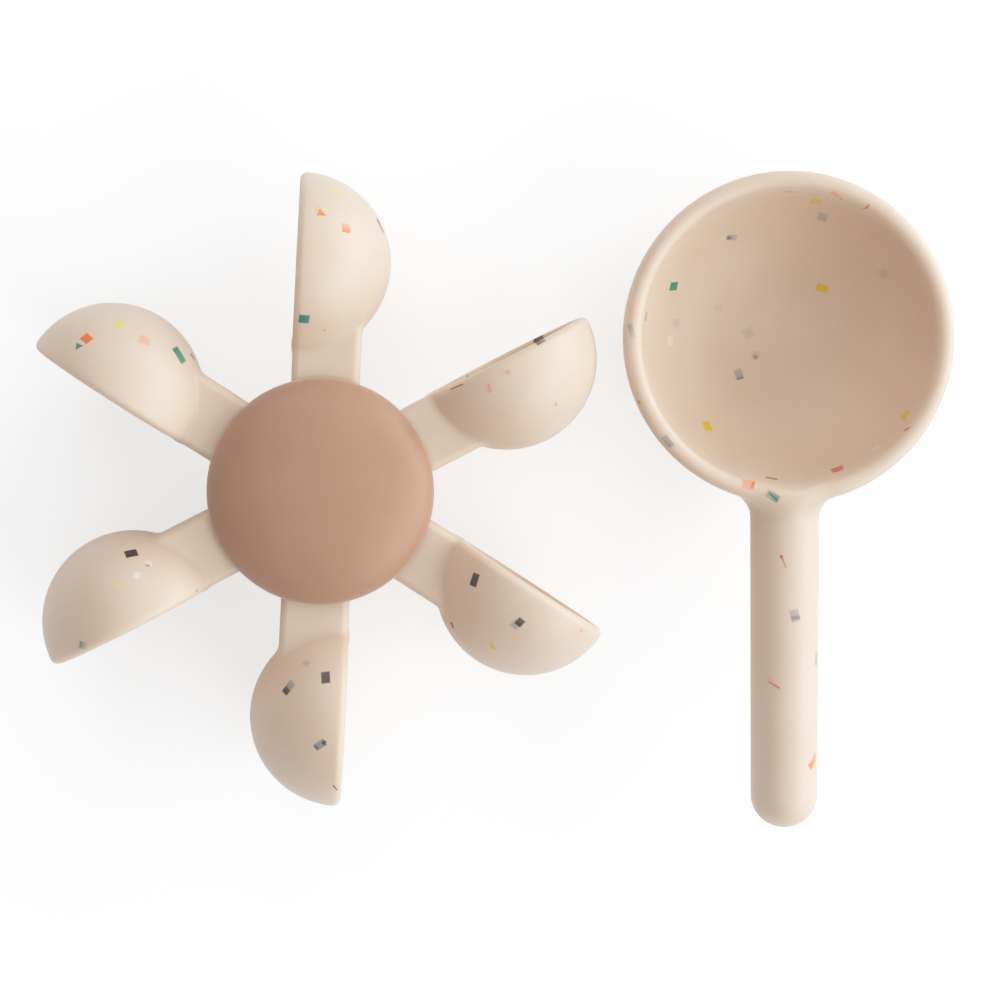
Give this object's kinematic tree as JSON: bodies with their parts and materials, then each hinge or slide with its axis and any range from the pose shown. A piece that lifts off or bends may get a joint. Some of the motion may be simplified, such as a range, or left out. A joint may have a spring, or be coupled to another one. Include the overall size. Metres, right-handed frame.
{
  "type": "bath water wheel",
  "caption": "Silicone bath water wheel with round cups on thick arms around a domed hub, spinning on a suction-cup mount, with a matching long-handled scoop to pour water over it.",
  "frame": {"origin": "on the wheel's axis, in the plane of the suction cup's sealing ring", "axes": "+Z along the wheel's axis from the wall to the cap, +Y along the first arm, +X towards the scoop"},
  "size_m": [0.2302, 0.1664, 0.0516],
  "materials": {
    "cream_silicone": "matte silicone with coloured chips moulded in",
    "tan_silicone": "matte silicone",
    "cream_plastic": "satin moulded plastic",
    "white_plastic": "smooth bearing plastic",
    "stainless_steel": "bright stainless steel"
  },
  "bodies": {
    "base": {"suction_cup": "tan_silicone", "mount_base": "cream_plastic", "thrust_washer": "white_plastic", "axle_washer": "stainless_steel", "axle_screw": "stainless_steel"},
    "wheel": {"rear_bush": "white_plastic", "front_bush": "white_plastic", "hub_shell": "cream_plastic", "hub_plate": "cream_plastic", "hub_cap": "tan_silicone", "plate_screw_1": "stainless_steel", "plate_screw_2": "stainless_steel", "plate_screw_3": "stainless_steel", "paddle_1": "cream_silicone", "paddle_2": "cream_silicone", "paddle_3": "cream_silicone", "paddle_4": "cream_silicone", "paddle_5": "cream_silicone", "paddle_6": "cream_silicone"},
    "scoop": {"scoop": "cream_silicone"}
  },
  "joints": [
    {"name": "wheel_spin", "type": "hinge", "parent": "base", "child": "wheel", "pos_m": [0, 0, 0], "axis": [0, 0, 1], "continuous": true},
    {"name": "scoop_lift", "type": "slide", "parent": "base", "child": "scoop", "axis": [0, 0, 1], "range_m": [0, 0.12]}
  ]
}
